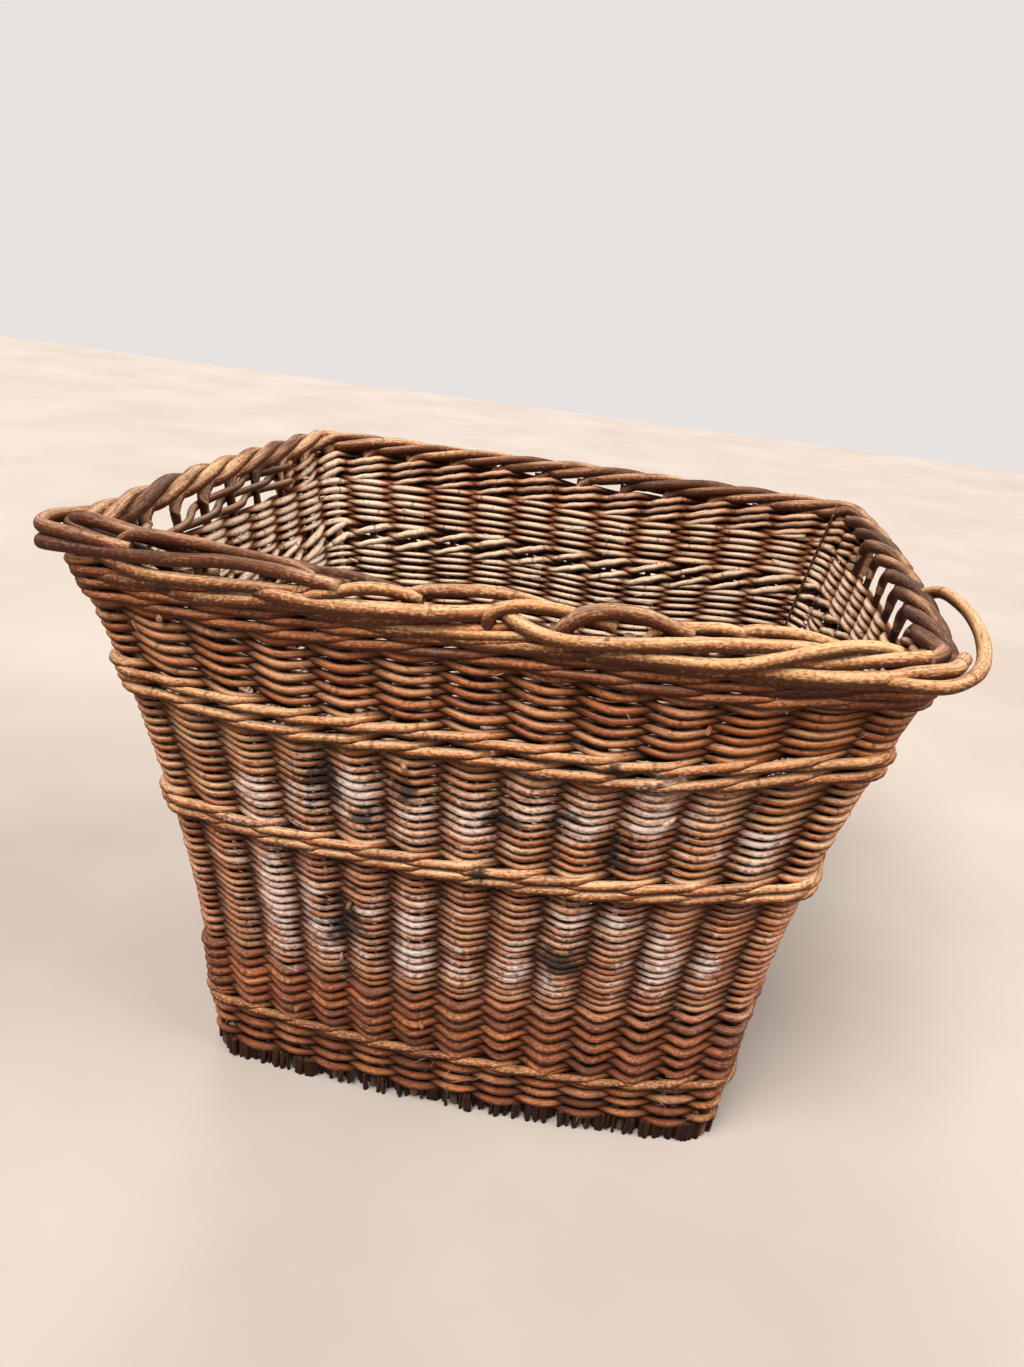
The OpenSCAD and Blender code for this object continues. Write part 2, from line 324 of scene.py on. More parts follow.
# ---------------------------------------------------------------- weaving
row_number = 0                              # counts every round of plain weave, from the ground up
PER_SPACE = 8                               # points of a path from one stake to the next
WEAVER_REACH = (12, 24)                     # spaces that one weaving cane covers
WALE_REACH = (3, 7)                         # the same for a cane of a wale, in threes of spaces
FEWEST_SPACES = 6                           # a shorter rest of a round isn't laid as a cane of its own
WEAVER_TAIL, WALE_TAIL = 0.30, 0.35         # how far a cane runs past its last stake, in spaces
SHORTEST_RUN = 5                            # points in the shortest piece of cane that is laid


def stake_radius(t):
    """Radius of what stands at place t: a corner post is thicker than a stake."""
    return STAKE_R + (POST_R - STAKE_R)*near_corner(t)


def woven_band(canes, z_low, z_high, pitch, radius, per_space=PER_SPACE, sides=8, droop=0.003, kink=0.02,
               jitter=0.0007, press=1.0):
    """Rounds of plain weave from z_low to z_high, in front of one stake and behind the next. Each
    round is made of canes that reach over a number of spaces and end behind a stake. droop is how
    low a cane hangs where it crosses in front of a stake, kink how sharply it turns there, press how
    far it swings out round the stakes."""
    global row_number
    rows = max(1, round((z_high - z_low)/pitch))
    for row in range(rows):
        row_number += 1
        parity = row_number % 2
        z_row = z_low + (row + 0.5)*(z_high - z_low)/rows + rng.uniform(-jitter, jitter)
        here = int(rng.integers(0, SPACES))
        here += (here + parity + 1) % 2            # a place where the cane is behind its stake
        end_of_row = here + SPACES
        while here < end_of_row:
            there = min(end_of_row, here + 2*int(rng.integers(*WEAVER_REACH)//2))
            if end_of_row - there < FEWEST_SPACES:
                there = end_of_row
            t = np.arange(here - WEAVER_TAIL, there + WEAVER_TAIL, 1/per_space)
            phase = math.pi*(t + parity)
            swing = (np.cos(phase) + kink*np.cos(3*phase))/(1 + kink)
            out = press*(stake_radius(t) + radius*0.97)*swing
            thick = radius*rng.uniform(0.80, 1.16)
            ends = np.maximum(smooth(here + 0.1 - t, 0, 0.4), smooth(t - there + 0.1, 0, 0.4))
            hang = droop*(0.35 + 0.65*on_front(t))
            z = z_row + rise_of_round(t, z_row) + waver(t, z_row) - hang*(0.7*swing + 0.3*np.cos(2*phase))
            z = z + ends*rng.uniform(-0.8, 0.8)*radius
            canes.add(on_wall(t, z, out), thick, sides, out, tint=rng.uniform(*canes.tones))
            here = there


def split(mask):
    """Runs of places where mask is true."""
    index = np.flatnonzero(mask)
    return np.split(index, np.flatnonzero(np.diff(index) > 1) + 1)


def wale(canes, z_middle, radius, keep=None):
    """A round of three canes, each in front of two stakes and behind one, like a rope. keep(t) says
    where a cane may lie."""
    for strand in range(3):
        here = int(rng.integers(0, SPACES//3))*3 + strand
        end_of_row = here + SPACES
        while here < end_of_row:
            there = min(end_of_row, here + 3*int(rng.integers(*WALE_REACH)))
            if end_of_row - there < 3*WALE_REACH[0]:
                there = end_of_row
            t = np.arange(here - WALE_TAIL, there + WALE_TAIL, 1/PER_SPACE)
            phase = ((t - strand) % 3)/3               # 0 and 1 behind a stake
            swing = 0.5 - 0.5*np.cos(2*math.pi*phase)  # 0 behind, 1 in front
            out = (stake_radius(t) + radius)*(1.85*np.clip(1.35*swing, 0, 1)**0.8 - 0.80)
            climb = (phase - 0.5)*2
            climb = climb*(1 - smooth(np.abs(climb), 0.72, 1.0))
            z = z_middle + rise_of_round(t, z_middle) + waver(t, z_middle) + 1.7*radius*climb
            path, thick = on_wall(t, z, out), radius*rng.uniform(0.90, 1.10)
            tint = rng.uniform(*canes.tones)
            for part in split(np.ones(len(t), bool) if keep is None else keep(t)):
                if len(part) >= SHORTEST_RUN:
                    canes.add(path[part], thick, 10, out[part], tint=tint)
            here = there


# ---------------------------------------------------------------- materials
class Look:
    """A node material; each method adds a node and returns its output."""

    def __init__(self, name):
        self.material = bpy.data.materials.new(name)
        self.material.use_nodes = True
        self.tree = self.material.node_tree
        self.shader = self.tree.nodes["Principled BSDF"]

    def plug(self, socket, value):
        if isinstance(value, bpy.types.NodeSocket):
            self.tree.links.new(value, socket)
        else:
            socket.default_value = value

    def node(self, kind, inputs, **settings):
        node = self.tree.nodes.new("ShaderNode" + kind)
        for key, value in settings.items():
            setattr(node, key, value)
        for key, value in inputs.items():
            self.plug(node.inputs[key], value)
        return node

    def value(self, name, output="Fac"):
        return self.node("Attribute", {}, attribute_name=name).outputs[output]

    def math(self, operation, a, b=0.0, clamp=False):
        return self.node("Math", {0: a, 1: b}, operation=operation, use_clamp=clamp).outputs[0]

    def times(self, a, b, clamp=False):
        return self.math("MULTIPLY", a, b, clamp)

    def plus(self, a, b, clamp=False):
        return self.math("ADD", a, b, clamp)

    def minus(self, a, b):
        return self.math("SUBTRACT", a, b)

    def fade(self, x, low, high, to_low=0.0, to_high=1.0):
        inputs = {"Value": x, "From Min": low, "From Max": high, "To Min": to_low, "To Max": to_high}
        return self.node("MapRange", inputs, interpolation_type="SMOOTHSTEP").outputs[0]

    def noise(self, where, scale=1.0, detail=3.0):
        return self.node("TexNoise", {"Vector": where, "Scale": scale, "Detail": detail}).outputs["Fac"]

    def mix(self, amount, a, b, blend="MIX"):
        return self.node("Mix", {0: amount, 6: a, 7: b}, data_type="RGBA", blend_type=blend).outputs[2]

    def ramp(self, x, stops):
        node = self.node("ValToRGB", {"Fac": x})
        elements = node.color_ramp.elements
        while len(elements) < len(stops):
            elements.new(0.5)
        for element, (place, colour) in zip(elements, stops):
            element.position = place
            element.color = (*colour, 1)
        return node.outputs["Color"]


# Colours from the darkest tone of cane, 0, to the palest, 1: outside, inside, and where the red is lost
OUTSIDE_TONES = [
    (0.0, (0.050, 0.012, 0.005)), (0.16, (0.160, 0.036, 0.010)), (0.32, (0.355, 0.080, 0.017)),
    (0.48, (0.545, 0.148, 0.032)), (0.62, (0.600, 0.198, 0.062)), (0.76, (0.620, 0.265, 0.118)),
    (0.88, (0.720, 0.360, 0.160)), (1.0, (0.840, 0.530, 0.270))]
INSIDE_TONES = [
    (0.0, (0.240, 0.105, 0.056)), (0.25, (0.540, 0.300, 0.185)), (0.5, (0.880, 0.620, 0.430)),
    (0.75, (0.780, 0.600, 0.460)), (1.0, (0.970, 0.820, 0.640))]
STRAW_TONES = [
    (0.0, (0.065, 0.017, 0.009)), (0.25, (0.180, 0.050, 0.020)), (0.5, (0.430, 0.155, 0.048)),
    (0.75, (0.600, 0.285, 0.095)), (1.0, (0.800, 0.500, 0.220))]
# What the streaks of the bark multiply the colour by
STREAK_SHADES = [(0.30, (0.55, 0.50, 0.47)), (0.50, (0.95, 0.95, 0.95)), (0.72, (1.30, 1.28, 1.25))]
SHADE = (0.019, 0.0050, 0.0024, 1)          # painted shade between the canes and under them
WARM_SHADE = (0.062, 0.017, 0.007, 1)       # and the painted shade under canes that have lost their red
HIGHLIGHT_AND_WEAR = (0.760, 0.540, 0.410, 1)             # painted highlight on the upper sides, and the pale of rubbed crests
CREAM = (0.870, 0.660, 0.420, 1)            # the same on canes that have lost their red
# painted light on the inside of the left wall
LEFT_WALL_LIGHT = (0.980, 0.820, 0.660, 1)
# painted shade towards the foot
FOOT_SHADE = (0.045, 0.017, 0.009, 1)
NODE_RING = (0.085, 0.035, 0.018, 1)
SPECK = (0.035, 0.017, 0.010, 1)
CUT_END = (0.330, 0.200, 0.110, 1)
LIMEWASH = (0.70, 0.60, 0.55, 1)
SOOT = (0.010, 0.007, 0.007, 1)


def blend(a, b, share):
    """A colour that is b by the share given, and a for the rest."""
    return tuple(x*(1 - share) + y*share for x, y in zip(a, b))


def cane_material(name, bleach=1.0, shade_and_dirt=1.0, lit_tops=0.18, blotches=0.60, straw=0.0):
    """Weathered cane. bleach is how pale the inside of the basket is; the next argument sets how dark the
    painted shade in the hollows, on the undersides and towards the foot is, and how dark the specks are;
    the one after it sets how strong the painted highlight on the upper sides is; blotches is how much the
    tone changes along a cane, and straw how far the cane has lost its red."""
    look = Look(name)
    tint, out, grain = look.value("tint"), look.value("out"), look.value("grain", "Vector")
    along, _, around = look.node("SeparateXYZ", {0: grain}).outputs
    place = look.node("TexCoord", {}).outputs["Object"]
    across, _, height = look.node("SeparateXYZ", {0: place}).outputs

    def cane_noise(stretch, detail=3.0):
        """Noise with its own scale along a cane (the first number) and around it."""
        where = look.node("VectorMath", {0: grain, 1: stretch}, operation="MULTIPLY").outputs[0]
        return look.noise(where, detail=detail)

    def vary(noise, amount):
        """The noise as a change to either side of zero."""
        return look.times(look.minus(noise, 0.5), amount)

    streaks, fibres = cane_noise((22, 900, 900)), cane_noise((60, 2600, 2600))
    slow, specks = cane_noise((9, 60, 60)), cane_noise((260, 520, 520), 2.0)

    tone = look.plus(tint, vary(slow, blotches))
    tone = look.plus(tone, vary(look.noise(place, 5.5), 0.35), clamp=True)
    outside = look.mix(straw, look.ramp(tone, OUTSIDE_TONES), look.ramp(tone, STRAW_TONES))
    inside = look.ramp(look.plus(look.times(tone, 0.6), 0.2), INSIDE_TONES)
    inward = look.plus(out, look.fade(height, 0.47, 0.50, 0.0, 0.0010))
    faded = look.fade(inward, -0.0078, -0.0034, 1.0, 0.0)
    faded = look.times(faded, look.fade(height, 0.54, 0.60, 1.0, 0.40))
    colour = look.mix(look.times(faded, bleach), outside, inside)
    # painted light: the inside of the left wall is made paler, as if lit more strongly, and the painted
    # shade on it is weaker
    lit_left_wall = look.times(faded, look.fade(across, -0.29, -0.20, 1.0, 0.0))
    colour = look.mix(look.times(lit_left_wall, 0.50*bleach), colour, LEFT_WALL_LIGHT)
    shade_kept = look.minus(1.0, look.times(lit_left_wall, 0.38))
    colour = look.mix(0.75, colour, look.ramp(streaks, STREAK_SHADES), "MULTIPLY")

    # painted shade on the undersides of the canes, and painted highlight on their upper sides
    under = look.fade(around, -0.0026 + 0.0014*straw, 0.0026 + 0.0022*straw, 0.94*shade_and_dirt, 0.0)
    colour = look.mix(look.times(under, shade_kept), colour, blend(SHADE, WARM_SHADE, straw))
    # painted highlight: the upper sides of the canes are made paler
    highlight_and_wear_colour = blend(HIGHLIGHT_AND_WEAR, CREAM, min(1.0, 3*straw))
    plain_band = look.times(look.fade(height, 0.13, 0.23), look.fade(height, 0.45, 0.53, 1.0, 0.0))
    top_highlight = look.times(look.fade(around, 0.0004 + 0.0020*straw, 0.0026 + 0.0030*straw),
                      look.fade(streaks, 0.35, 0.70, 0.20, 0.74))
    top_highlight = look.times(top_highlight, look.fade(tone, 0.05, 0.45, 1 - straw, 1.0))
    top_highlight = look.times(top_highlight, look.plus(look.times(plain_band, 1 - lit_tops), lit_tops))
    colour = look.mix(top_highlight, colour, highlight_and_wear_colour)

    # painted shade: darker towards the foot, in blotches
    foot_shade = look.fade(height, 0.05, 0.42, 0.46*shade_and_dirt, 0.06)
    foot_shade = look.times(foot_shade, look.fade(look.noise(place, 34.0), 0.25, 0.60, 0.55, 1.25))
    colour = look.mix(foot_shade, colour, FOOT_SHADE)

    # rings at the nodes of the cane, further apart on one cane than on the next
    spacing = look.plus(look.times(tint, 0.11), 0.13)
    ring = look.math("ABSOLUTE", look.minus(look.math("FRACT", look.math("DIVIDE", along, spacing)), 0.5))
    ring = look.fade(ring, 0.004, 0.012, 1.0, 0.0)
    colour = look.mix(look.times(ring, 0.55), colour, NODE_RING)

    # painted shade where the canes cross behind each other, dark specks, and a pale rubbed colour with
    # painted highlight, stronger on the upper sides, where they stand out
    depth = look.math("MAXIMUM", look.times(out, 0.88), look.times(out, -1.0))
    hollow = look.times(look.fade(depth, 0.001, 0.0078, 1.0, 0.0), 0.97*shade_and_dirt, clamp=True)
    hollow = look.times(hollow, look.fade(look.noise(place, 60.0), 0.15, 0.50, 0.84, 1.0))
    colour = look.mix(look.times(hollow, shade_kept), colour, SHADE)
    colour = look.mix(look.times(look.fade(specks, 0.56, 0.68), 0.60*shade_and_dirt), colour, SPECK)
    wear_and_highlight = look.times(look.fade(out, 0.006, 0.014), look.fade(specks, 0.50, 0.32, 0.0, 0.34))
    wear_and_highlight = look.times(wear_and_highlight, look.fade(tone, 0.10, 0.50, 0.15, 1.0))
    wear_and_highlight = look.times(wear_and_highlight, look.fade(around, -0.0020, 0.0015, 0.10, 1.0))
    colour = look.mix(wear_and_highlight, colour, highlight_and_wear_colour)
    tip = look.times(look.value("tip"), look.fade(tint, 0.03, 0.08, 0.10, 0.70))
    colour = look.mix(tip, colour, CUT_END)

    # limewash and smudges lie on the outermost part of the canes only
    ragged = look.plus(look.noise(place, 95.0), vary(fibres, 0.9))
    by_cane = vary(slow, 1.3)
    lime_place = look.value("lime")
    lime = look.plus(look.times(lime_place, 0.62), ragged)
    lime = look.plus(lime, look.times(look.noise(place, 26.0), 0.6))
    lime = look.minus(look.minus(lime, look.times(specks, 0.9)), by_cane)
    lime = look.times(look.fade(lime, 0.58, 1.18, 0.0, 0.76), look.fade(lime_place, 0.0, 0.22, 0.22, 1.0))
    colour = look.mix(look.times(lime, look.fade(out, 0.003, 0.009)), colour, LIMEWASH)
    soot = look.plus(look.times(look.value("soot"), 0.80), ragged)
    soot = look.plus(soot, look.times(look.noise(place, 38.0), 0.9))
    soot = look.fade(look.plus(soot, by_cane), 1.34, 1.72, 0.0, 0.90)
    colour = look.mix(look.times(soot, look.fade(out, -0.004, 0.004)), colour, SOOT)

    look.plug(look.shader.inputs["Base Color"], colour)
    look.plug(look.shader.inputs["Roughness"], look.fade(streaks, 0.25, 0.75, 0.74, 0.52))
    look.plug(look.shader.inputs["Specular IOR Level"], 0.12)
    relief = look.plus(look.times(streaks, 0.8), look.times(fibres, 0.5))
    relief = look.plus(relief, look.times(ring, 0.6))
    bump = look.node("Bump", {"Strength": 0.75, "Distance": 0.0010, "Height": relief})
    look.plug(look.shader.inputs["Normal"], bump.outputs["Normal"])
    return look.material


outside_cane = cane_material("weathered_cane")
upper_cane = cane_material("upper_cane", lit_tops=0.40, straw=0.12)
wale_cane = cane_material("wale_cane", bleach=0.9, lit_tops=0.34, straw=0.35)
border_cane = cane_material("border_cane", bleach=0.25, lit_tops=0.85, blotches=1.25, straw=0.80)
# cane for the foot: no pale inside, and stronger painted shade
dark_cane = cane_material("dark_cane", bleach=0.0, shade_and_dirt=1.3)


# ---------------------------------------------------------------- foot, base, posts and stakes
UPRIGHT = (0.3, 1, 0)                       # a direction that no upright cane follows
FOOT_STUBS = 760
STUB_HEIGHT = 0.010                         # of the stubs above the foot border
STUB_TIP = 0.0004
BASE_STICKS = 7


def stand(canes, t, z_high, radius, sides=10):
    """A cane that stands in the stake line, from the foot up."""
    z = np.linspace(STAKE_FOOT, z_high, 40)
    canes.add(on_wall(np.full(40, float(t)), z, 0.0), radius, sides, up=UPRIGHT)


def put_foot():
    # near-black tones: painted shade on the foot under the weave
    foot = Canes(palest=0.03)
    top = BAND_Z["foot_border"][1] + STUB_HEIGHT
    for i in range(FOOT_STUBS):
        t = SPACES*(i + rng.uniform(-0.4, 0.4))/FOOT_STUBS
        out = rng.uniform(-0.008, 0.008)
        low = 0.0 if rng.random() < 0.6 else rng.uniform(0, 0.007)
        z = np.array([low, low + STUB_TIP, 0.009, top - STUB_TIP, top])
        drift = np.linspace(rng.uniform(-0.09, 0.09), 0, 5)
        foot.add(on_wall(t + drift, z, out), rng.uniform(0.0016, 0.0038), 6, out, up=UPRIGHT)
    foot.build("foot_stubs", dark_cane, "cane_dark", "foot_border")


def put_base():
    box_low, box_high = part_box("base_sticks")
    half_l, half_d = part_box("base_weave")[1].x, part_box("base_weave")[1].y
    middle = (box_low.z + box_high.z)/2
    pitch = 2*half_l/(BASE_STICKS + 1)
    sticks = Canes()
    for i in range(1, BASE_STICKS + 1):
        x = i*pitch - half_l
        path = curve_through([(x, y, middle) for y in np.linspace(box_low.y, box_high.y, 8)])
        sticks.add(path, 0.0058, 12, LAID_INSIDE, tint=0.5)
    sticks.build("base_stick_canes", outside_cane, "cane_outside", "base_sticks")
    weave = Canes(0.3, 0.95)
    radius, row_pitch = 0.0036, 0.0074
    rows = int(2*half_d/row_pitch)
    for row in range(rows):
        y = (row + 0.5 - rows/2)*row_pitch
        bow = 1 - (abs(y)/half_d)**4*0.02
        x = np.linspace(-half_l*bow, half_l*bow, 12*BASE_STICKS)
        swing = np.cos(math.pi*((x + half_l)/pitch + row % 2))
        path = np.stack([x, np.full(len(x), y) + rng.uniform(-0.0006, 0.0006), middle + 0.0088*swing], -1)
        weave.add(path, radius*rng.uniform(0.9, 1.1), 8, LAID_INSIDE)
    weave.build("base_weave_canes", outside_cane, "cane_bleached", "base_weave")


def put_posts_and_stakes():
    for name, corner in zip(CORNER_NAMES, CORNERS):
        post = Canes(0.2, 0.5)
        stand(post, corner, POST_TOP, POST_R, sides=14)
        post.build(f"corner_post_{name}_cane", border_cane, "cane_dark", f"corner_post_{name}")
    for k, name in enumerate(SIDE_NAMES):
        stakes = Canes(0.3, 0.75)
        for i in range(1, SIDE_COUNTS[k]):
            stand(stakes, CORNERS[k] + i, STAKE_TOP, STAKE_R*rng.uniform(0.95, 1.1))
        stakes.build(f"{name}_stake_canes", outside_cane, "cane_bleached", f"{name}_stakes")


# ---------------------------------------------------------------- bands of weaving, from the ground up
def put_weave(name, node, material, tones, z_low, z_high, pitch, radius, **shape):
    """One band of plain weave as a piece. tones are those of its darkest and its palest canes."""
    band = Canes(*tones)
    woven_band(band, z_low, z_high, pitch, radius, **shape)
    band.build(name, material, "cane_outside", node)


def put_wales(name, nodes, tones, heights, radius, material=wale_cane, slot="cane_light", keep=None):
    """Wales at one or more heights as a piece."""
    band = Canes(*tones)
    for z in heights:
        wale(band, z, radius, keep)
    band.build(name, material, slot, *nodes)


def off_hand_holds(t):
    middles = (LONG_SPACES + SHORT_SPACES/2, SPACES - SHORT_SPACES/2)
    return np.min([spaces_from(t, middle) for middle in middles], axis=0) > HAND_HOLD_SPACES/2


def weave_all_bands():
    low, high = BAND_Z["lower_wale"]
    put_weave("lower_weave_canes", "lower_wale", outside_cane, (0.22, 0.66), low + 0.005, high - 0.012,
              0.0074, 0.0044, droop=-0.0008, press=0.76)
    put_wales("lower_wale_canes", (), (0.30, 0.62), [high - 0.006], 0.0043)

    put_weave("heavy_weave_canes", "heavy_weave", outside_cane, (0.20, 0.50), *BAND_Z["heavy_weave"],
              0.0076, 0.0052, droop=0.0044, kink=0.11, sides=10, press=0.88)
    put_weave("fine_weave_canes", "fine_weave", outside_cane, (0.30, 0.80), *BAND_Z["fine_weave"],
              0.0047, 0.0033, droop=0.0036, kink=0.05, per_space=7, press=0.84)

    low, high = BAND_Z["middle_wale"]
    put_wales("middle_wale_canes", ("middle_wale",), (0.32, 0.74), [low + 0.006, high - 0.006], 0.0048)

    put_weave("middle_weave_canes", "middle_weave", upper_cane, (0.34, 0.82), *BAND_Z["middle_weave"],
              0.0050, 0.0035, droop=0.0032, kink=0.04, press=0.84)

    low, high = BAND_Z["upper_wale"]
    put_wales("upper_wale_canes", ("upper_wale",), (0.44, 0.88), [low + 0.003, high - 0.001], 0.0050)

    low, high = BAND_Z["upper_weave"]
    put_weave("upper_weave_canes", "upper_weave", upper_cane, (0.34, 0.80), low + 0.004, high,
              0.0048, 0.0040, droop=0.0022, jitter=0.0008, press=0.76)

    low, high = BAND_Z["top_rods"]
    heights = np.linspace(low + 0.004, high + 0.002, 3)
    put_wales("top_rod_canes", ("top_rods",), (0.20, 0.66), heights, 0.0043, upper_cane, "cane_outside",
              off_hand_holds)


# ---------------------------------------------------------------- border
ROPE_RISE, ROPE_WIDTH = 0.0078, 0.0098      # from the middle of the rope to the middle of a cane
ROPE_SPACES = 4                             # spaces in one turn of the rope
ROPE_OUT = 0.003
BEND_Z = 0.566                              # where a stake starts to bend over
FRONT_DIP = 0.007                           # how far the front border hangs in its middle
BORDER_SWELL = 0.035                        # how much the thickness of a border cane varies


def bent_stake(canes, k, spaces, radius, tint=None):
    """A stake that comes up at place k, bends over towards lower places, and winds once round
    the others: up on the inside, over the top, and down on the outside."""
    turned = np.arange(0, spaces, 0.25)
    angle = 1.5*math.pi - 2*math.pi*turned/ROPE_SPACES
    places = [(k, BEND_Z, 0.0), (k - 0.01, BEND_Z + 0.016, -0.001)]
    places += [(k - s, BORDER_Z + ROPE_RISE*math.sin(a), ROPE_OUT + ROPE_WIDTH*math.cos(a))
               for s, a in zip(turned[1:], angle[1:])]
    t, z, out = curve_through(places, 6).T
    progress = np.linspace(0, 1, len(t))
    thick = radius*np.interp(progress, (0, 0.14, 1), (STAKE_R/radius, 1.06, 0.86))
    canes.add(on_wall(t, z, out), thick, 12, out=0.010, up=(0.02, 0.03, 1), tint=tint, swell=BORDER_SWELL)


REACHES = (2.6, 3.0, 4.2, 4.3)              # spaces that a bent stake covers
ROPE_SIDES = {1: (0.0066, 0.0078), 2: (0.0060, 0.0072), 3: (0.0066, 0.0080)}   # wall: range of radius
# Bent stakes from the front that join the border of the left wall: (place, spaces, radius, tone)
JOINING = [(SPACES, 3.0, 0.0070, 0.25), (SPACES + 0.9, 3.4, 0.0066, 0.35),
           (SPACES + 1.6, 4.2, 0.0062, 0.15)]


def put_rope_border():
    for k, radii in ROPE_SIDES.items():
        start, end = CORNERS[k], CORNERS[k] + SIDE_COUNTS[k]
        past_corner = 0.4 if k == 1 else max(REACHES)    # those of the right wall stay off the front
        side = Canes(0.04, 0.50)
        for i in range(start + 1, end):
            reach = min(rng.choice(REACHES), i - start + past_corner)
            bent_stake(side, i, reach, rng.uniform(*radii))
        if end == SPACES:
            for place, spaces, radius, tint in JOINING:
                bent_stake(side, place, spaces, radius, tint)
        side.build(f"{SIDE_NAMES[k]}_border_canes", border_cane, "cane_dark", f"{SIDE_NAMES[k]}_border")
        if end < SPACES:
            corner = Canes(0.10, 0.40)
            bent_stake(corner, end, 4.2, 0.0074)
            name = f"border_corner_{CORNER_NAMES[k + 1]}"
            corner.build(f"{name}_canes", border_cane, "cane_dark", name)


def rim(*places):
    """Points (place round the basket, height, distance out from the stake line) at the border."""
    t, z, out = np.array(places, float).T
    dip = FRONT_DIP*(t < LONG_SPACES)*(1 - (2*t/LONG_SPACES - 1)**2)
    return [tuple(p) for p in on_wall(t, z - dip, out)]


